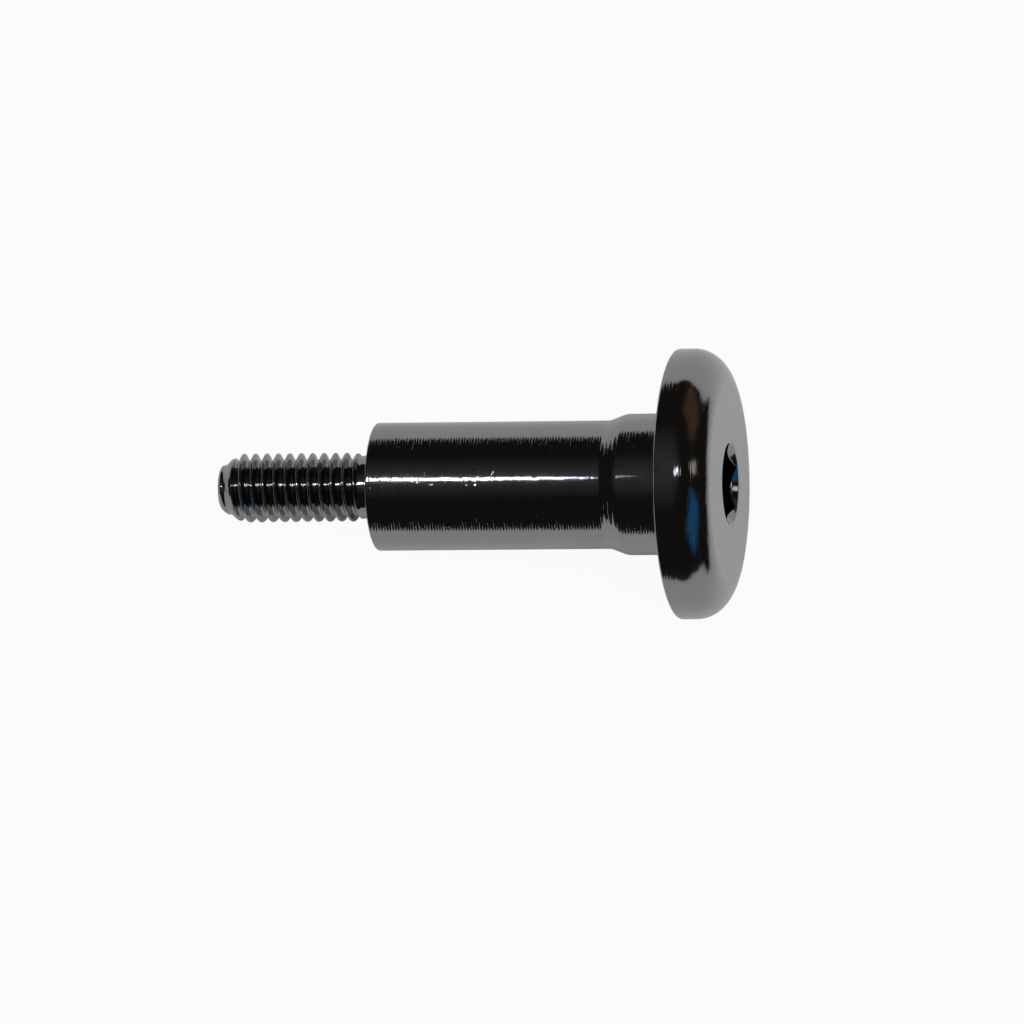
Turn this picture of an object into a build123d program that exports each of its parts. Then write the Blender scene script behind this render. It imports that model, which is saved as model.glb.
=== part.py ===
from build123d import *
import os
from math import atan2, cos, degrees, radians, sin, sqrt, tan

# A shoulder bolt, made from one piece of steel and plated all over: a broad round head with a
# hexagon socket, a collar under the head, the plain shoulder that a part turns on, and a thread.
#
# Frame, in millimetres: the bolt lies as it comes to rest on a flat surface, on the rear rim of
# its head and on its last full thread crest. +Z is up and +X runs from the thread to the head.
# The origin is the centre of the shoulder's end face, on the bolt's own axis. Every station
# below is a distance along that axis from the origin, positive towards the head.

# Thread: M6 x 1. The solid is the cylinder that touches the crests of the thread.
thread_diameter = 5.9
thread_reach = 13.75  # from the shoulder's end face to the tip
neck_diameter = 5.36  # the unthreaded neck beside the shoulder
neck_length = 1.1
run_out_length = 0.35
tip_diameter = 3.8  # the flat end of the tapered nose
tip_round = 0.3
nose_length = 1.85

# Shoulder, the taper above it and the collar under the head
shoulder_diameter = 10.9
shoulder_length = 20.3
shoulder_edge_break = 0.12
taper_length = 1.45
collar_diameter = 12.0
collar_length = 4.45

# Head
head_diameter = 22.95
head_height = 4.3  # from the underside to the edge of the face
rear_rim_break = 0.2
front_round_length = 2.9  # the rounding between flank and face: along the axis,
front_round_depth = 3.2  # and towards it
face_crown = 0.08  # how far the middle of the face stands proud of its edge

# Hexagon socket
socket_across_flats = 6.0
socket_depth = 4.4  # to the end of the flats
socket_rim_diameter = 7.05  # the countersink's mouth
socket_floor_angle = 120.0  # the full angle of the conical floor
socket_floor_share = 0.95  # the cone's radius as a share of the flats' inscribed circle

# Radii and stations worked out from the sizes above
thread_radius = thread_diameter / 2
neck_radius = neck_diameter / 2
shoulder_radius = shoulder_diameter / 2
collar_radius = collar_diameter / 2
head_radius = head_diameter / 2
face_radius = head_radius - front_round_depth
rim_radius = socket_rim_diameter / 2
tip_station = -thread_reach
last_crest_station = tip_station + nose_length
collar_station = shoulder_length + taper_length
underside_station = collar_station + collar_length
flank_start_station = underside_station + rear_rim_break
face_station = underside_station + head_height
flank_end_station = face_station - front_round_length

# The bolt rests on two circles, the last full crest and the head's rear rim, and the difference
# of their radii over the distance between them is the slope that its axis takes.
rest_slope = degrees(
    atan2(head_radius - thread_radius, flank_start_station - last_crest_station)
)
bolt_axis = Axis((0, 0, 0), (cos(radians(rest_slope)), 0, sin(radians(rest_slope))))

# The half section lies in this plane: its x is the station, its y the radius.
section_plane = Plane((0, 0, 0), x_dir=bolt_axis.direction, z_dir=(0, -1, 0))

# The face is a shallow cap of a sphere. It rises from its edge by the crown at the axis.
sphere_radius = (face_radius**2 + face_crown**2) / (2 * face_crown)


def face_height(radius):
    """Station of the crowned face at a radius from the axis."""
    rise = sqrt(sphere_radius**2 - radius**2) - (sphere_radius - face_crown)
    return face_station + rise


# The mouth of the socket opens at 45 degrees to the rim.
socket_mouth_station = face_height(rim_radius)
flat_radius = socket_across_flats / 2
corner_radius = socket_across_flats / sqrt(3)
mouth_plane = Plane(
    bolt_axis.direction * socket_mouth_station,
    x_dir=(0, 1, 0),
    z_dir=bolt_axis.direction,
)
socket_end_station = socket_mouth_station - socket_depth
floor_radius = socket_floor_share * flat_radius
floor_depth = floor_radius / tan(radians(socket_floor_angle / 2))

with BuildPart() as shoulder_bolt:
    # The body of revolution: half section from the tip to the middle of the face
    with BuildSketch(section_plane):
        with BuildLine():
            Polyline(
                (tip_station, 0),
                (tip_station, tip_diameter / 2),
                (last_crest_station, thread_radius),
                (-neck_length - run_out_length, thread_radius),
                (-neck_length, neck_radius),
                (0, neck_radius),
                (0, shoulder_radius - shoulder_edge_break),
                (shoulder_edge_break, shoulder_radius),
                (shoulder_length, shoulder_radius),
                (collar_station, collar_radius),
                (underside_station, collar_radius),
                (underside_station, head_radius - rear_rim_break),
                (flank_start_station, head_radius),
                (flank_end_station, head_radius),
            )
            EllipticalCenterArc(
                (flank_end_station, face_radius),
                front_round_length,
                front_round_depth,
                start_angle=0,
                arc_size=90,
            )
            ThreePointArc(
                (face_station, face_radius),
                (face_height(face_radius / 2), face_radius / 2),
                (face_height(0), 0),
            )
            Line((face_height(0), 0), (tip_station, 0))
        make_face()
    revolve(axis=bolt_axis)

    # The tip's edge is rounded
    tip_edge = shoulder_bolt.edges().filter_by(GeomType.CIRCLE).sort_by(Axis.X)[0]
    fillet(tip_edge, tip_round)

    # Hexagon socket, two of its corners level with the axis
    with BuildSketch(mouth_plane):
        RegularPolygon(corner_radius, 6)
    extrude(amount=-socket_depth, mode=Mode.SUBTRACT)

    # The 45 degree mouth, a cone whose point lies inside the socket
    with BuildSketch(section_plane):
        with BuildLine():
            Polyline(
                (socket_mouth_station - rim_radius, 0),
                (socket_mouth_station + face_crown, rim_radius + face_crown),
                (socket_mouth_station + face_crown, 0),
                close=True,
            )
        make_face()
    revolve(axis=bolt_axis, mode=Mode.SUBTRACT)

    # The conical floor
    with BuildSketch(section_plane):
        with BuildLine():
            Polyline(
                (socket_end_station, 0),
                (socket_end_station, floor_radius),
                (socket_end_station - floor_depth, 0),
                close=True,
            )
        make_face()
    revolve(axis=bolt_axis, mode=Mode.SUBTRACT)

shoulder_bolt.part.label = "shoulder_bolt"
os.makedirs("parts", exist_ok=True)
export_step(shoulder_bolt.part, "parts/shoulder_bolt.step")
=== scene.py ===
"""A plated shoulder bolt, dressed: one turned piece with its rolled thread, in a plain studio.

Every length in the size classes is in millimetres, measured along the bolt's own axis from the
shoulder's end face, positive towards the head. Meshes are made in metres, in the model's frame.
"""

import logging
import math
from dataclasses import dataclass, field
from enum import Enum

import bpy
import numpy as np
from mathutils import Matrix, Vector


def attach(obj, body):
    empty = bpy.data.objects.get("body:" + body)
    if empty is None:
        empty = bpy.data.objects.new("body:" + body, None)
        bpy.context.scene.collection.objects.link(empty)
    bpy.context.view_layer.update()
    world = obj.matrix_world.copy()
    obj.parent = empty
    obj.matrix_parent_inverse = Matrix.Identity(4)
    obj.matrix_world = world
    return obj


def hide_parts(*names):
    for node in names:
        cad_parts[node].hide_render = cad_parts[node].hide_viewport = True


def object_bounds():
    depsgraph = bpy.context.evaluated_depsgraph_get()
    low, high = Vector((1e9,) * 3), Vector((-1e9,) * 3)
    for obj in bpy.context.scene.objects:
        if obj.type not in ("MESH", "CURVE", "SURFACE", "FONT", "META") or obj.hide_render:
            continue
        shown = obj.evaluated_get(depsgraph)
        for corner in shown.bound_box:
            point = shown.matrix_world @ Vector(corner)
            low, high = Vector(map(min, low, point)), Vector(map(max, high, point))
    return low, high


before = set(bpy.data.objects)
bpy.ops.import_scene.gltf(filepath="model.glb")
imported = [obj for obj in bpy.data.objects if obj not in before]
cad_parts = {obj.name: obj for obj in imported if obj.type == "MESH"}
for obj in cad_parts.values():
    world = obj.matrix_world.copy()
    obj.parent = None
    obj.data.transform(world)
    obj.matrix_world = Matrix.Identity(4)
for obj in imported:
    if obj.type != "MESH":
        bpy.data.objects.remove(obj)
cad_box = [list(corner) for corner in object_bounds()]

log = logging.getLogger("shoulder_bolt")
MM = 0.001


class Seen(Enum):
    """What a lamp lights: everything, matt surfaces only, or polished ones only."""

    EVERYWHERE = "everywhere"
    MATT_ONLY = "matt_only"
    POLISH_ONLY = "polish_only"


# ------------------------------------------------------------------------------ shape helpers


def smooth_step(x: np.ndarray, low: float, high: float) -> np.ndarray:
    """Rise from 0 to 1 between two values, level at both ends: 3t squared less 2t cubed.

    Args:
        x: Values to map.
        low: Where the rise starts.
        high: Where it ends.

    Returns:
        The mapped values, as an array of the same shape.
    """
    t = np.clip((x - low) / (high - low), 0.0, 1.0)
    return t * t * (3.0 - 2.0 * t)


def soft_clamp(t: np.ndarray, low_round: float, high_round: float) -> np.ndarray:
    """Clamp to 0..1 with both corners rounded by a parabola that is tangent to either side.

    Args:
        t: Values to clamp.
        low_round: Half width of the rounding at 0.
        high_round: Half width of the rounding at 1.

    Returns:
        The clamped values.
    """
    out = np.clip(t, 0.0, 1.0)
    low = np.abs(t) < low_round
    out = np.where(low, (t + low_round) ** 2 / (4.0 * low_round), out)
    high = np.abs(t - 1.0) < high_round
    return np.where(high, 1.0 - (1.0 + high_round - t) ** 2 / (4.0 * high_round), out)


def rounded_corners(points: list[tuple[float, float, float]], steps: int = 5) -> np.ndarray:
    """Round the corners of a half section.

    Each corner is replaced by a parabola between two points on its sides, each the corner's
    cut away from it: (1-t)^2 A + 2t(1-t) P + t^2 B for t from 0 to 1.

    Args:
        points: (station, radius, cut) of each corner; a cut of 0 keeps the corner.
        steps: How many parts the parabola has.

    Returns:
        An array of (station, radius) rows.
    """
    corners = np.array([p[:2] for p in points])
    rows = [corners[:1]]
    t = np.linspace(0.0, 1.0, steps + 1)[:, None]
    for i in range(1, len(points) - 1):
        cut = points[i][2]
        if cut == 0.0:
            rows.append(corners[i : i + 1])
            continue
        back, ahead = corners[i - 1] - corners[i], corners[i + 1] - corners[i]
        a = corners[i] + back / np.linalg.norm(back) * cut
        b = corners[i] + ahead / np.linalg.norm(ahead) * cut
        rows.append((1 - t) ** 2 * a + 2 * t * (1 - t) * corners[i] + t**2 * b)
    rows.append(corners[-1:])
    return np.vstack(rows)


class NodeBench:
    """Adds nodes to one node tree and links them up."""

    def __init__(self, tree: bpy.types.NodeTree) -> None:
        """Take a tree.

        Args:
            tree: The tree that the nodes go into.
        """
        self.nodes, self.links = tree.nodes, tree.links

    def put(self, value: object, slot: bpy.types.NodeSocket) -> None:
        """Link a socket into a slot, or set the slot to a plain value.

        Args:
            value: An output socket, or a number, colour or vector.
            slot: The input that takes it.
        """
        if isinstance(value, bpy.types.NodeSocket):
            self.links.new(value, slot)
        else:
            slot.default_value = value

    def maths(self, kind: str, *values: object) -> bpy.types.NodeSocket:
        """Add a Math node.

        Args:
            kind: Its operation.
            values: Sockets or numbers, in the order of its inputs.

        Returns:
            The node's output.
        """
        node = self.nodes.new("ShaderNodeMath")
        node.operation = kind
        for slot, value in zip(node.inputs, values):
            self.put(value, slot)
        return node.outputs[0]

    def span(
        self,
        value: object,
        start: tuple[float, float],
        end: tuple[float, float] = (0.0, 1.0),
        kind: str = "LINEAR",
    ) -> bpy.types.NodeSocket:
        """Map one span of values onto another, held at its ends.

        Args:
            value: Socket to map.
            start: The two values that the span runs between.
            end: What these two become.
            kind: Interpolation between them.

        Returns:
            The mapped value.
        """
        node = self.nodes.new("ShaderNodeMapRange")
        node.interpolation_type = kind
        self.put(value, node.inputs["Value"])
        names = ("From Min", "From Max", "To Min", "To Max")
        for name, number in zip(names, start + end):
            self.put(number, node.inputs[name])
        return node.outputs[0]

    def noise(
        self, place: bpy.types.NodeSocket, scale: float, detail: float, roughness: float = 0.5
    ) -> bpy.types.NodeSocket:
        """Add a noise texture.

        Args:
            place: Where it is read.
            scale: How fine it is.
            detail: How many finer layers it has.
            roughness: How strong each finer layer is against the one before.

        Returns:
            Its value, from 0 to 1.
        """
        node = self.nodes.new("ShaderNodeTexNoise")
        self.put(place, node.inputs["Vector"])
        self.put(scale, node.inputs["Scale"])
        self.put(detail, node.inputs["Detail"])
        self.put(roughness, node.inputs["Roughness"])
        return node.outputs[0]

    def blend(self, share: object, low: object, high: object) -> bpy.types.NodeSocket:
        """Mix two colours.

        Args:
            share: Share of the second colour.
            low: The first colour.
            high: The second colour.

        Returns:
            The mixed colour.
        """
        node = self.nodes.new("ShaderNodeMix")
        node.data_type = "RGBA"
        self.put(share, node.inputs[0])
        self.put(low, node.inputs[6])
        self.put(high, node.inputs[7])
        return node.outputs[2]

    def layer(self, share: object, under: object, over: object) -> bpy.types.NodeSocket:
        """Mix two shaders.

        Args:
            share: Share of the second shader.
            under: The first shader.
            over: The second shader.

        Returns:
            The mixed shader.
        """
        node = self.nodes.new("ShaderNodeMixShader")
        self.put(share, node.inputs[0])
        self.put(under, node.inputs[1])
        self.put(over, node.inputs[2])
        return node.outputs[0]


# ------------------------------------------------------------------------------ sub-assemblies


@dataclass(frozen=True)
class BoltAxis:
    """The line of the bolt as it lies: it rises towards +X by the rest slope."""

    head_radius: float = 11.475
    crest_radius: float = 2.95
    rim_station: float = 26.4
    last_crest_station: float = -11.9

    @property
    def slope(self) -> float:
        """Slope of the axis in radians: the radii's difference over the distance between them."""
        rise = self.head_radius - self.crest_radius
        return math.atan2(rise, self.rim_station - self.last_crest_station)

    @property
    def along(self) -> np.ndarray:
        """Unit vector from thread to head."""
        return np.array([math.cos(self.slope), 0.0, math.sin(self.slope)])

    @property
    def upward(self) -> np.ndarray:
        """Unit vector square to the axis, towards the top."""
        return np.array([-math.sin(self.slope), 0.0, math.cos(self.slope)])

    def place(self, station: np.ndarray, radius: np.ndarray, turn: np.ndarray) -> np.ndarray:
        """Points in metres: station along the axis, radius across it, turned from up to +Y.

        Args:
            station: Stations in millimetres.
            radius: Radii in millimetres.
            turn: Angles in radians.

        Returns:
            An array of points with x, y, z last.
        """
        sideways = np.array([0.0, 1.0, 0.0])
        across = np.cos(turn)[..., None] * self.upward + np.sin(turn)[..., None] * sideways
        return MM * (station[..., None] * self.along + radius[..., None] * across)


@dataclass(frozen=True)
class ThreadedEnd:
    """The rolled M6 thread with its tapered nose and the plain neck beside the shoulder."""

    pitch: float = 1.0
    crest_radius: float = 2.94
    root_radius: float = 2.37
    crest_half_width: float = 0.075
    flank_width: float = 0.32
    root_round: float = 0.30  # half widths of the roundings, as shares of the flank
    crest_round: float = 0.14
    crest_at_top: float = -0.530  # station of one crest on the upper line, less whole pitches
    wear: float = 0.012  # how far the crests stand up or down along the thread
    tip_station: float = -13.75
    tip_radius: float = 1.9
    nose_length: float = 1.85
    start_depth: float = 0.14  # how far the first turn's valley lies under the nose's cone
    neck_radius: float = 2.68
    neck_station: float = -1.1
    fade_length: float = 1.0
    row_pitch: float = 0.0385
    # Rows of the tip: how far each lies behind its flat, and its radius.
    tip_rows: tuple[tuple[float, float], ...] = (
        (0.0, 0.45),
        (0.0, 1.2),
        (0.0, 1.52),
        (0.012, 1.66),
        (0.045, 1.78),
        (0.10, 1.87),
        (0.17, 1.945),
    )

    def crests(self, station: np.ndarray, turn: np.ndarray) -> np.ndarray:
        """Radius of the endless thread: a rounded trapezoid run round as a right-hand helix.

        The distance from the nearest crest line, which moves back one pitch in a full turn, is
        clamped softly between the crest's half width and the flank's far end. Two slow sines
        along the crests stand for wear.

        Args:
            station: Stations in millimetres.
            turn: Angles in radians.

        Returns:
            Radii in millimetres.
        """
        phase = (station - self.crest_at_top) / self.pitch + turn / (2.0 * math.pi)
        away = np.abs(phase - np.round(phase)) * self.pitch
        share = (self.crest_half_width + self.flank_width - away) / self.flank_width
        depth = self.crest_radius - self.root_radius
        rounded = soft_clamp(share, self.root_round, self.crest_round)
        worn = self.wear * np.sin(3.1 * station + 1.7 * turn) * np.sin(5.3 * station)
        return self.root_radius + depth * rounded + worn * (share > 0.6)

    def radius(self, station: np.ndarray, turn: np.ndarray) -> np.ndarray:
        """Radius of the whole end: the thread, cut by the nose's cone, run out into the neck.

        Near the tip the valleys are cut a little under the cone, where the first turn starts.

        Args:
            station: Stations in millimetres.
            turn: Angles in radians.

        Returns:
            Radii in millimetres.
        """
        slope = (self.crest_radius - self.tip_radius) / self.nose_length
        cone = self.tip_radius + (station - self.tip_station) * slope
        thread = self.crests(station, turn)
        lift = smooth_step(station, self.tip_station + 0.5, self.tip_station + 2.6)
        valley = smooth_step(-thread, -2.9, -2.4)
        started = cone - self.start_depth * (1.0 - lift) * valley
        cut = np.minimum(thread, started)
        end = smooth_step(station, self.neck_station - self.fade_length, self.neck_station)
        return cut * (1.0 - end) + self.neck_radius * end

    def rows(self, turn: np.ndarray) -> tuple[np.ndarray, np.ndarray]:
        """Stations and radii of the rows from the tip's flat to the neck.

        Args:
            turn: The columns' angles.

        Returns:
            Two arrays, rows by columns.
        """
        flat = np.array(self.tip_rows)
        start = self.tip_station + 0.24
        count = int((self.neck_station - start) / self.row_pitch)
        run = np.linspace(start, self.neck_station, count)
        line = np.concatenate([self.tip_station + flat[:, 0], run])
        station = np.repeat(line[:, None], len(turn), 1)
        body = self.radius(station[len(flat) :], turn[None, :])
        radius = np.vstack([np.repeat(flat[:, 1:], len(turn), 1), body])
        return station, radius


@dataclass(frozen=True)
class Shank:
    """The neck's end, the plain shoulder, the taper and the collar, up to the head."""

    neck_radius: float = 2.68
    neck_station: float = -1.1
    radius: float = 5.45
    length: float = 20.3
    taper_length: float = 1.45
    collar_radius: float = 6.0
    collar_length: float = 4.45
    neck_fillet: float = 0.16  # how far each rounding reaches from its corner
    edge_break: float = 0.13
    taper_foot: float = 0.12
    taper_top: float = 0.30
    head_fillet: float = 0.14

    def profile(self) -> list[tuple[float, float, float]]:
        """Corners of the half section, from the neck to the head.

        Returns:
            (station, radius, reach of the rounding) of each corner.
        """
        collar = self.length + self.taper_length
        head = collar + self.collar_length
        return [
            (self.neck_station + 0.02, self.neck_radius, 0.0),
            (0.0, self.neck_radius, self.neck_fillet),
            (0.0, self.radius, self.edge_break),
            (self.length, self.radius, self.taper_foot),
            (collar, self.collar_radius, self.taper_top),
            (head, self.collar_radius, self.head_fillet),
        ]


@dataclass(frozen=True)
class Head:
    """The broad round head: underside, flank, the round in front of it and the crowned face."""

    radius: float = 11.468
    underside: float = 26.2
    face: float = 30.5
    rim_break: float = 0.24
    round_length: float = 2.9
    round_depth: float = 3.2
    crown: float = 0.08
    collar_radius: float = 6.0

    def face_height(self, radius: np.ndarray) -> np.ndarray:
        """Station of the crowned face, a shallow parabola over the radius.

        Args:
            radius: Distances from the axis in millimetres.

        Returns:
            Stations in millimetres.
        """
        edge = self.radius - self.round_depth
        return self.face + self.crown * (1.0 - (radius / edge) ** 2)

    def corners(self) -> list[tuple[float, float, float]]:
        """Corners from the middle of the underside to the front of the flank.

        Returns:
            (station, radius, reach of the rounding) of each corner.
        """
        return [
            (self.underside, 0.5 * (self.collar_radius + self.radius), 0.0),
            (self.underside, self.radius, self.rim_break),
            (self.face - self.round_length, self.radius, 0.0),
        ]

    def front(self, socket_rim: float) -> np.ndarray:
        """Rows of the front: a quarter ellipse, then the crowned face down to the socket's rim.

        Args:
            socket_rim: Radius at which the face ends.

        Returns:
            An array of (station, radius) rows.
        """
        angle = np.linspace(0.0, math.pi / 2, 34)[1:]
        start = self.face - self.round_length
        edge = self.radius - self.round_depth
        ahead, out = self.round_length * np.sin(angle), self.round_depth * np.cos(angle)
        arc = np.stack([start + ahead, edge + out], 1)
        radius = np.linspace(edge, socket_rim + 0.07, 14)[1:]
        return np.vstack([arc, np.stack([self.face_height(radius), radius], 1)])


@dataclass(frozen=True)
class HexSocket:
    """The 6 mm hexagon socket with its 45 degree mouth and drilled floor."""

    across_flats: float = 6.0
    depth: float = 4.4
    rim_radius: float = 3.525
    corner_share: float = 0.985
    floor_slope: float = 0.55
    rim_softness: float = 0.012  # how far the first row lies behind the face
    # Where the rows lie: down the mouth, down the walls, and inwards over the floor.
    mouth_shares: tuple[float, ...] = (0.03, 0.12, 0.5, 0.88, 0.97)
    wall_shares: tuple[float, ...] = (0.012, 0.03, 0.1, 0.3, 0.55, 0.8, 0.96, 0.99, 1.0)
    floor_shares: tuple[float, ...] = (0.97, 0.9, 0.6, 0.3, 0.08)

    def wall(self, turn: np.ndarray) -> np.ndarray:
        """Radius of the hexagon: half the flats over the cosine from the flat's middle.

        Args:
            turn: Angles in radians, with flats at the top and every sixth of a turn.

        Returns:
            Radii, the sharp corners taken down a little.
        """
        sixth = math.pi / 3
        away = np.abs((turn + sixth / 2) % sixth - sixth / 2)
        sharp = 0.5 * self.across_flats / np.cos(away)
        corner = self.across_flats / math.sqrt(3.0)
        return np.minimum(sharp, corner * self.corner_share)

    def rows(self, mouth: float, turn: np.ndarray) -> tuple[np.ndarray, np.ndarray]:
        """Rows from the rim down the 45 degree mouth and the walls to the conical floor.

        Args:
            mouth: Station of the rim.
            turn: The columns' angles.

        Returns:
            Stations and radii, rows by columns.
        """
        wall = self.wall(turn)
        brim = mouth - (self.rim_radius - wall)
        end = mouth - self.depth
        level = np.ones_like(turn)
        share = np.array(self.mouth_shares)[:, None]
        down = np.array(self.wall_shares)[:, None]
        inner = np.array(self.floor_shares)[:, None]
        station = [
            level[None, :] * (mouth - self.rim_softness),
            mouth - share * (mouth - brim),
            brim + down * (end - brim),
            end - (1.0 - inner) * wall * self.floor_slope,
        ]
        radius = [
            level[None, :] * (self.rim_radius + 0.02),
            self.rim_radius - share * (self.rim_radius - wall),
            np.repeat(wall[None, :], len(down), 0),
            inner * wall,
        ]
        return np.vstack(station), np.vstack(radius)


@dataclass(frozen=True)
class PlatedSteel:
    """Chrome plating over turned steel: mirror grey with fine turning marks, pits and wear."""

    plate: tuple[float, float, float, float] = (0.322, 0.33, 0.342, 1.0)
    rust: tuple[float, float, float, float] = (0.15, 0.09, 0.055, 1.0)
    roughness: float = 0.075
    rust_roughness: float = 0.45
    groove_pitch: float = 0.19
    groove_height: float = 0.028  # height of the marks between their valleys and ridges
    feed: float = 0.24  # spacing of the regular marks
    feed_share: float = 0.25  # their height as a share of groove_height
    feed_wander: float = 3.0  # how far noise shifts them, in radians of their wave
    round_scale: float = 2.6  # how often the marks change round the axis
    thread_share: float = 0.12  # strength of the marks on the thread, and what is added
    shank_share: float = 0.88  # to it on the shank and on the head
    head_share: float = 0.30
    pit_height: float = 0.008
    pit_cells: float = 2600.0
    pit_reach: float = 0.26
    pit_patches: float = 420.0
    smears: float = 230.0

    def turning_marks(self) -> bpy.types.NodeTree:
        """Shader group: height of the turning marks and of the pits, and a smear value.

        The marks are noise that is drawn out round the axis and fine along it, with the third
        power of a sine wave on top, which the noise shifts. They are weak on the thread. The
        pits are round dimples of a cell pattern, thinned by a second noise.

        Returns:
            The group, with a Vector in metres turned onto the bolt's axis as its input.
        """
        tree = bpy.data.node_groups.new("turning marks", "ShaderNodeTree")
        face = tree.interface
        face.new_socket(name="Vector", in_out="INPUT", socket_type="NodeSocketVector")
        for name in ("Marks", "Pits", "Smear"):
            face.new_socket(name=name, in_out="OUTPUT", socket_type="NodeSocketFloat")
        bench = NodeBench(tree)
        maths, nodes = bench.maths, bench.nodes
        start, end = nodes.new("NodeGroupInput"), nodes.new("NodeGroupOutput")
        place = start.outputs[0]
        split = nodes.new("ShaderNodeSeparateXYZ")
        bench.put(place, split.inputs[0])
        x, y, z = split.outputs

        out = maths("SQRT", maths("ADD", maths("MULTIPLY", y, y), maths("MULTIPLY", z, z)))
        along = maths("SUBTRACT", x, out)
        turn = maths("ARCTAN2", y, z)
        drawn = nodes.new("ShaderNodeCombineXYZ")
        bench.put(maths("MULTIPLY", along, 1.0 / (self.groove_pitch * MM)), drawn.inputs[0])
        bench.put(maths("MULTIPLY", maths("SINE", turn), self.round_scale), drawn.inputs[1])
        bench.put(maths("MULTIPLY", maths("COSINE", turn), self.round_scale), drawn.inputs[2])
        marks = bench.noise(drawn.outputs[0], 1.0, 2.5, 0.6)
        wander = maths("MULTIPLY", marks, self.feed_wander)
        wave = maths("MULTIPLY", along, 2.0 * math.pi / (self.feed * MM))
        ridge = maths("SINE", maths("ADD", wave, wander))
        crest = maths("POWER", maths("MULTIPLY_ADD", ridge, 0.5, 0.5), 3.0)
        both = maths("ADD", marks, maths("MULTIPLY", crest, self.feed_share))
        plain = bench.span(x, (-0.6 * MM, 0.2 * MM))
        ground = bench.span(x, (26.0 * MM, 27.5 * MM), (self.shank_share, self.head_share))
        strength = maths("MULTIPLY_ADD", plain, ground, self.thread_share)
        bench.put(maths("MULTIPLY", both, strength), end.inputs["Marks"])

        cells = nodes.new("ShaderNodeTexVoronoi")
        bench.put(self.pit_cells, cells.inputs["Scale"])
        bench.put(place, cells.inputs["Vector"])
        dimple = bench.span(cells.outputs["Distance"], (self.pit_reach, 0.0), kind="SMOOTHSTEP")
        few = maths("GREATER_THAN", bench.noise(place, self.pit_patches, 3.0), 0.50)
        spots = maths("MULTIPLY", dimple, few)
        bench.put(maths("MULTIPLY", spots, plain), end.inputs["Pits"])
        bench.put(bench.noise(place, self.smears, 4.0), end.inputs["Smear"])
        return tree

    def relief(self, lay: bpy.types.Node, bench: NodeBench) -> bpy.types.NodeSocket:
        """Normal of the plating with its marks and pits.

        Args:
            lay: The node that holds the turning marks.
            bench: Where the nodes go.

        Returns:
            The normal.
        """
        grooves = bench.nodes.new("ShaderNodeBump")
        bench.put(self.groove_height * MM, grooves.inputs["Distance"])
        bench.put(lay.outputs["Marks"], grooves.inputs["Height"])
        pits = bench.nodes.new("ShaderNodeBump")
        pits.invert = True
        bench.put(self.pit_height * MM, pits.inputs["Distance"])
        bench.put(lay.outputs["Pits"], pits.inputs["Height"])
        bench.put(grooves.outputs[0], pits.inputs["Normal"])
        return pits.outputs[0]

    def material(self, axis: BoltAxis, rust_at: Vector, rust_size: float) -> bpy.types.Material:
        """Build the plating.

        Args:
            axis: Line of the bolt, along which the marks are laid.
            rust_at: Where the rust spot lies, in metres.
            rust_size: Its radius in metres.

        Returns:
            The material.
        """
        made = bpy.data.materials.new("plated_steel")
        made.use_nodes = True
        made.node_tree.nodes.clear()
        bench = NodeBench(made.node_tree)
        nodes = bench.nodes
        out = nodes.new("ShaderNodeOutputMaterial")
        shader = nodes.new("ShaderNodeBsdfPrincipled")
        bench.put(1.0, shader.inputs["Metallic"])
        bench.put(0.0, shader.inputs["Anisotropic"])
        bench.put(shader.outputs[0], out.inputs[0])
        coords = nodes.new("ShaderNodeTexCoord")
        turned = nodes.new("ShaderNodeMapping")
        bench.put((0.0, axis.slope, 0.0), turned.inputs["Rotation"])
        bench.put(coords.outputs["Object"], turned.inputs["Vector"])
        lay = nodes.new("ShaderNodeGroup")
        lay.node_tree = self.turning_marks()
        bench.put(turned.outputs[0], lay.inputs[0])
        smear = lay.outputs["Smear"]

        spot = nodes.new("ShaderNodeVectorMath")
        spot.operation = "DISTANCE"
        bench.put(rust_at, spot.inputs[1])
        bench.put(coords.outputs["Object"], spot.inputs[0])
        ragged = bench.maths("MULTIPLY_ADD", smear, rust_size * 1.6, spot.outputs["Value"])
        rusty = bench.span(ragged, (rust_size * 1.9, rust_size * 1.45))
        dull = bench.span(smear, (0.45, 0.75), (0.0, 0.22))
        dusty = bench.blend(dull, self.plate, tuple(0.8 * c for c in self.plate[:3]) + (1.0,))
        bench.put(bench.blend(rusty, dusty, self.rust), shader.inputs["Base Color"])
        rough = bench.span(smear, (0.3, 0.8), (self.roughness, self.roughness * 1.6))
        blunt = bench.maths("MULTIPLY_ADD", rusty, self.rust_roughness, rough)
        bench.put(blunt, shader.inputs["Roughness"])
        bench.put(self.relief(lay, bench), shader.inputs["Normal"])
        return made


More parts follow.
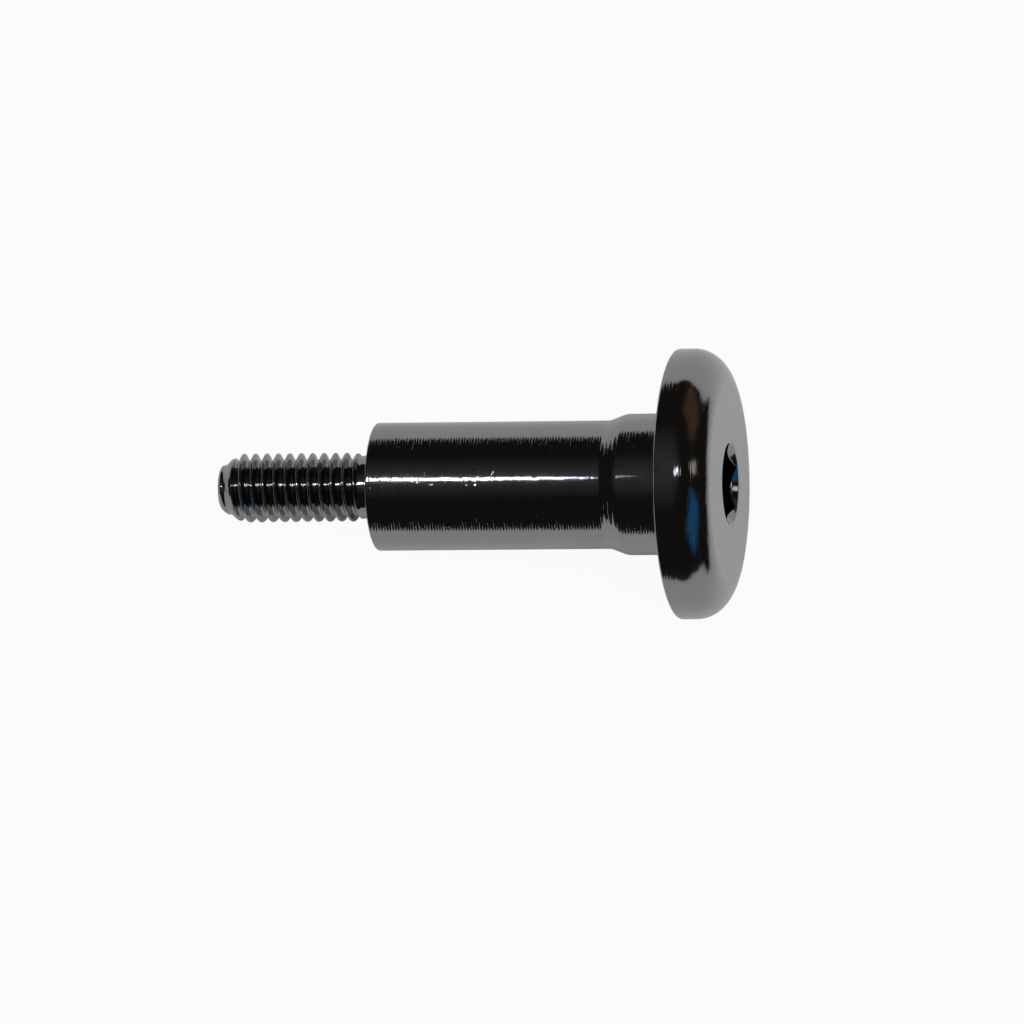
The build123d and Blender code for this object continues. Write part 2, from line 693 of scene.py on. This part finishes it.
@dataclass
class ShoulderBolt:
    """The bolt: its sections joined into one closed surface."""

    axis: BoltAxis = field(default_factory=BoltAxis)
    thread: ThreadedEnd = field(default_factory=ThreadedEnd)
    shank: Shank = field(default_factory=Shank)
    head: Head = field(default_factory=Head)
    socket: HexSocket = field(default_factory=HexSocket)
    finish: PlatedSteel = field(default_factory=PlatedSteel)
    columns: int = 192
    row_reach: float = 1.6  # the widest that two rows of the shank and head may lie apart
    rust_station: float = -4.9
    rust_turn: float = 0.52
    rust_radius: float = 0.55

    def grid(self, turn: np.ndarray) -> tuple[np.ndarray, np.ndarray]:
        """Stations and radii of every row from the tip to the floor of the socket.

        Args:
            turn: The columns' angles.

        Returns:
            Two arrays, rows by columns.
        """
        line = rounded_corners(self.shank.profile() + self.head.corners())
        line = np.vstack([line, self.head.front(self.socket.rim_radius)])
        spans = np.abs(np.diff(line, axis=0)).sum(1)
        extra = np.maximum(1, np.ceil(spans / self.row_reach)).astype(int)
        parts = [i + np.arange(n) / n for i, n in enumerate(extra)]
        at = np.concatenate(parts + [[len(line) - 1.0]])
        index = np.arange(len(line))
        line = np.stack([np.interp(at, index, column) for column in line.T], 1)
        station, radius = self.thread.rows(turn)
        wide = np.ones((1, len(turn)))
        mouth = float(self.head.face_height(np.array(self.socket.rim_radius)))
        deep, inner = self.socket.rows(mouth, turn)
        return (
            np.vstack([station, line[1:, :1] * wide, deep]),
            np.vstack([radius, line[1:, 1:] * wide, inner]),
        )

    def faces(self, rows: int) -> tuple[np.ndarray, np.ndarray]:
        """Corner numbers of the faces: quads between the rows, and a fan at each pole.

        Args:
            rows: How many rows the grid has; the two poles come after it.

        Returns:
            The quads and the triangles, wound the same way round.
        """
        columns = self.columns
        k, j = np.meshgrid(np.arange(rows - 1), np.arange(columns), indexing="ij")
        nxt = (j + 1) % columns
        here, above = k * columns, (k + 1) * columns
        quads = np.stack([here + j, above + j, above + nxt, here + nxt], -1).reshape(-1, 4)
        j = np.arange(columns)
        nxt = (j + 1) % columns
        first, top = rows * columns, (rows - 1) * columns
        tip = np.stack([np.full(columns, first), j, nxt], 1)
        floor = np.stack([np.full(columns, first + 1), top + nxt, top + j], 1)
        return quads, np.vstack([tip, floor])

    def build(self) -> bpy.types.Object:
        """Make the closed mesh. The winding is turned round if its volume comes out negative.

        Returns:
            The object, at the origin, with its finish.
        """
        turn = np.arange(self.columns) * (2.0 * math.pi / self.columns)
        station, radius = self.grid(turn)
        rows = len(station)
        points = self.axis.place(station, radius, np.repeat(turn[None, :], rows, 0))
        poles = np.stack([station[0].mean(), station[-1].mean() - 0.08])
        points = np.vstack([points.reshape(-1, 3), MM * poles[:, None] * self.axis.along])

        quads, fans = self.faces(rows)
        a, b, c, d = (points[quads[:, i]] for i in range(4))
        volume = np.einsum("ij,ij->", a, np.cross(b, c) + np.cross(c, d))
        if volume < 0.0:
            quads, fans = quads[:, ::-1], fans[:, ::-1]
        mesh = bpy.data.meshes.new("bolt_body")
        mesh.from_pydata(points.tolist(), [], quads.tolist() + fans.tolist())
        mesh.polygons.foreach_set("use_smooth", np.ones(len(mesh.polygons), bool))
        mesh.update()
        mesh.validate()
        piece = bpy.data.objects.new("bolt_body", mesh)
        bpy.context.scene.collection.objects.link(piece)
        spot = self.axis.place(
            np.array(self.rust_station),
            np.array(self.thread.crest_radius),
            np.array(self.rust_turn),
        )
        finish = self.finish.material(self.axis, Vector(spot), self.rust_radius * MM)
        mesh.materials.append(finish)
        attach(piece, "root")
        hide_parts("shoulder_bolt")
        return piece


# ------------------------------------------------------------------------------------- studio


@dataclass(frozen=True)
class PaleFloor:
    """The plain pale sheet that the bolt lies on.

    Polish shows only part of it as lit, and the dark room past that. The lit part ends towards
    +X at bright_ahead, and further out on both sides: past flare_start it widens steeply, and
    from bright_wide on slowly. Towards -Y it ends at bright_front. All are in metres.
    """

    height: float
    half_width: float = 0.6
    bright_ahead: float = 0.055
    flare_start: float = 0.020
    flare: float = 1.5
    bright_wide: float = 0.075
    wide_flare: float = 0.5
    bright_front: float = 0.135
    room: tuple[float, float, float, float] = (0.016, 0.0138, 0.0115, 1.0)
    colour: tuple[float, float, float, float] = (0.88, 0.88, 0.88, 1.0)
    lift: float = 0.94  # how much of the sheet's white is its own, for the eye only

    def unlit(self, bench: NodeBench) -> bpy.types.NodeSocket:
        """Mask of the part that polish shows as dark.

        Args:
            bench: Where the nodes go.

        Returns:
            1 past the edges of the lit part, 0 within them.
        """
        maths = bench.maths
        split = bench.nodes.new("ShaderNodeSeparateXYZ")
        coords = bench.nodes.new("ShaderNodeTexCoord")
        bench.put(coords.outputs["Object"], split.inputs[0])
        x, y, _ = split.outputs
        aside = maths("ABSOLUTE", y)
        past = maths("MAXIMUM", maths("SUBTRACT", aside, self.flare_start), 0.0)
        steep = maths("MULTIPLY_ADD", past, self.flare, self.bright_ahead)
        slow = maths("MULTIPLY_ADD", aside, self.wide_flare, self.bright_wide)
        ahead = maths("GREATER_THAN", x, maths("MINIMUM", steep, slow))
        front = maths("MULTIPLY_ADD", maths("MAXIMUM", x, 0.0), -1.0, -self.bright_front)
        return maths("MAXIMUM", ahead, maths("LESS_THAN", y, front))

    def material(self) -> bpy.types.Material:
        """A matt white that the camera sees lifted towards white, with its shadow kept.

        Returns:
            The material.
        """
        made = bpy.data.materials.new("pale_floor")
        made.use_nodes = True
        made.node_tree.nodes.clear()
        bench = NodeBench(made.node_tree)
        out = bench.nodes.new("ShaderNodeOutputMaterial")
        matt = bench.nodes.new("ShaderNodeBsdfDiffuse")
        bench.put(self.colour, matt.inputs["Color"])
        white = bench.nodes.new("ShaderNodeEmission")
        bench.put(1.0, white.inputs["Strength"])
        dark = bench.nodes.new("ShaderNodeEmission")
        bench.put(self.room, dark.inputs["Color"])
        ray = bench.nodes.new("ShaderNodeLightPath")
        share = bench.maths("MULTIPLY", ray.outputs["Is Camera Ray"], self.lift)
        lit = bench.layer(share, matt.outputs[0], white.outputs[0])
        hidden = bench.maths("MULTIPLY", self.unlit(bench), ray.outputs["Is Glossy Ray"])
        bench.put(bench.layer(hidden, lit, dark.outputs[0]), out.inputs[0])
        return made

    def build(self) -> bpy.types.Object:
        """Make the flat sheet under the bolt.

        Returns:
            The sheet's object.
        """
        w, z = self.half_width, self.height
        mesh = bpy.data.meshes.new("floor")
        corners = [(-w, -w, z), (w, -w, z), (w, w, z), (-w, w, z)]
        mesh.from_pydata(corners, [], [(0, 1, 2, 3)])
        mesh.materials.append(self.material())
        floor = bpy.data.objects.new("floor", mesh)
        bpy.context.scene.collection.objects.link(floor)
        return floor


@dataclass(frozen=True)
class Lamp:
    """An oblong lamp that points at a spot on the bolt."""

    name: str
    direction: tuple[float, float, float]
    distance: float
    size: tuple[float, float]
    radiance: float
    colour: tuple[float, float, float] = (1.0, 1.0, 1.0)
    seen: Seen = Seen.EVERYWHERE
    beam: float = 180.0  # full angle of its beam in degrees
    shift: float = 0.0  # how far from the spot along X it points

    def power(self) -> float:
        """Watts: radiance times pi times the area, less what a narrow beam would add.

        What a polished surface shows of the lamp then stays the same at any size and beam.

        Returns:
            The power.
        """
        half = math.radians(0.5 * self.beam)
        focus = 1.0 - half / math.tan(half) if self.beam < 180.0 else 1.0
        return self.radiance * math.pi * self.size[0] * self.size[1] * focus

    def build(self, target: Vector) -> bpy.types.Object:
        """Place the lamp.

        Args:
            target: The spot in metres.

        Returns:
            The lamp's object.
        """
        data = bpy.data.lights.new(self.name, "AREA")
        data.shape = "RECTANGLE"
        data.size, data.size_y = self.size
        data.spread = math.radians(self.beam)
        data.energy = self.power()
        data.color = self.colour
        lamp = bpy.data.objects.new(self.name, data)
        way = Vector(self.direction).normalized()
        lamp.location = target + Vector((self.shift, 0.0, 0.0)) + way * self.distance
        lamp.rotation_euler = way.to_track_quat("Z", "Y").to_euler()
        lamp.visible_camera = False
        lamp.visible_glossy = self.seen is not Seen.MATT_ONLY
        lamp.visible_diffuse = self.seen is not Seen.POLISH_ONLY
        bpy.context.scene.collection.objects.link(lamp)
        return lamp


def polish_lamp(
    name: str,
    direction: tuple[float, float, float],
    distance: float,
    size: tuple[float, float],
    radiance: float,
    colour: tuple[float, float, float],
    **more: float,
) -> Lamp:
    """A lamp that only polished surfaces show.

    Args:
        name: Its name.
        direction: Where it stands, seen from the spot.
        distance: How far off, in metres.
        size: Its width and length in metres.
        radiance: How bright polish shows it.
        colour: Its tint.
        more: Its beam and shift, where they aren't the usual ones.

    Returns:
        The lamp.
    """
    return Lamp(name, direction, distance, size, radiance, colour, Seen.POLISH_ONLY, **more)


LAMPS = (
    # lights the sheet and every matt surface
    Lamp("overhead_soft", (0.10, 0.05, 1.0), 1.2, (1.3, 1.3), 2.35, seen=Seen.MATT_ONLY),
    # the bright line along the shoulder and thread, and the soft glow about it
    polish_lamp(
        "narrow_strip",
        (-0.421, 0.108, 0.900),
        0.14,
        (0.0108, 0.0300),
        130.0,
        (0.93, 0.88, 1.0),
        beam=6.4,
        shift=-0.0083,
    ),
    polish_lamp(
        "strip_glow",
        (-0.40, 0.135, 0.90),
        0.9,
        (1.4, 1.3),
        0.062,
        (0.95, 0.92, 1.0),
        beam=75.0,
    ),
    # the bright spot on the head's flank
    polish_lamp(
        "small_overhead", (0.061, 0.074, 0.995), 0.9, (0.06, 0.10), 14.0, (0.90, 0.86, 1.0)
    ),
    # the tints in the round in front of the flank
    polish_lamp("low_warm", (0.896, 0.129, 0.425), 0.8, (0.09, 0.13), 1.3, (1.0, 0.92, 0.74)),
    polish_lamp("brown_card", (0.637, 0.707, 0.309), 0.8, (0.62, 0.44), 0.075, (1.0, 0.60, 0.36)),
    polish_lamp("blue_card", (0.840, -0.392, 0.375), 0.8, (0.50, 0.44), 0.26, (0.02, 0.42, 1.0)),
)


@dataclass(frozen=True)
class Studio:
    """Lamps, room and camera."""

    tilt: float = math.radians(6.2)
    roll: float = -0.0152
    distance: float = 1.0
    across: float = 0.01138
    above: float = -0.001973
    lens: float = 412.45
    room: float = 0.016
    lamps: tuple[Lamp, ...] = LAMPS

    def light(self, target: Vector) -> None:
        """Build the lamps and the dark room, which the camera alone sees as white.

        Args:
            target: The spot that the lamps point at, in metres.
        """
        for lamp in self.lamps:
            lamp.build(target)
            log.info("lamp %s", lamp.name)
        world = bpy.data.worlds.new("room")
        bpy.context.scene.world = world
        world.use_nodes = True
        world.node_tree.nodes.clear()
        bench = NodeBench(world.node_tree)
        out = bench.nodes.new("ShaderNodeOutputWorld")
        dark = bench.nodes.new("ShaderNodeBackground")
        white = bench.nodes.new("ShaderNodeBackground")
        bench.put((1.0, 0.86, 0.72, 1.0), dark.inputs["Color"])
        bench.put(self.room, dark.inputs["Strength"])
        bench.put((1.0, 1.0, 1.0, 1.0), white.inputs["Color"])
        bench.put(1.0, white.inputs["Strength"])
        ray = bench.nodes.new("ShaderNodeLightPath")
        eye = ray.outputs["Is Camera Ray"]
        bench.put(bench.layer(eye, dark.outputs[0], white.outputs[0]), out.inputs[0])

    def aim(self) -> bpy.types.Object:
        """Make the camera: above the bolt, leaned back towards -Y by the tilt.

        Returns:
            The camera's object.
        """
        right = Vector((1.0, 0.0, 0.0))
        up = Vector((0.0, math.cos(self.tilt), math.sin(self.tilt)))
        back = right.cross(up)
        data = bpy.data.cameras.new("camera")
        data.lens = self.lens
        data.sensor_width = 36.0
        data.clip_end = 10.0
        camera = bpy.data.objects.new("camera", data)
        place = right * self.across + up * self.above + back * self.distance
        turned_right = right * math.cos(self.roll) - up * math.sin(self.roll)
        turned_up = right * math.sin(self.roll) + up * math.cos(self.roll)
        columns = (turned_right, turned_up, back, place)
        rows = [tuple(column[i] for column in columns) for i in range(3)]
        camera.matrix_world = Matrix(rows + [(0.0, 0.0, 0.0, 1.0)])
        bpy.context.scene.collection.objects.link(camera)
        bpy.context.scene.camera = camera
        return camera


def main() -> None:
    """Build the bolt, then the studio."""
    logging.basicConfig(level=logging.INFO, format="%(message)s")
    bpy.context.scene.view_settings.view_transform = "Standard"
    studio = Studio()
    studio.aim()
    bolt = ShoulderBolt()
    piece = bolt.build()
    log.info("%s: %d faces", piece.name, len(piece.data.polygons))
    PaleFloor(height=cad_box[0][2]).build()
    studio.light(Vector((0.009, 0.0, 0.004)))


if __name__ == "__main__":
    main()
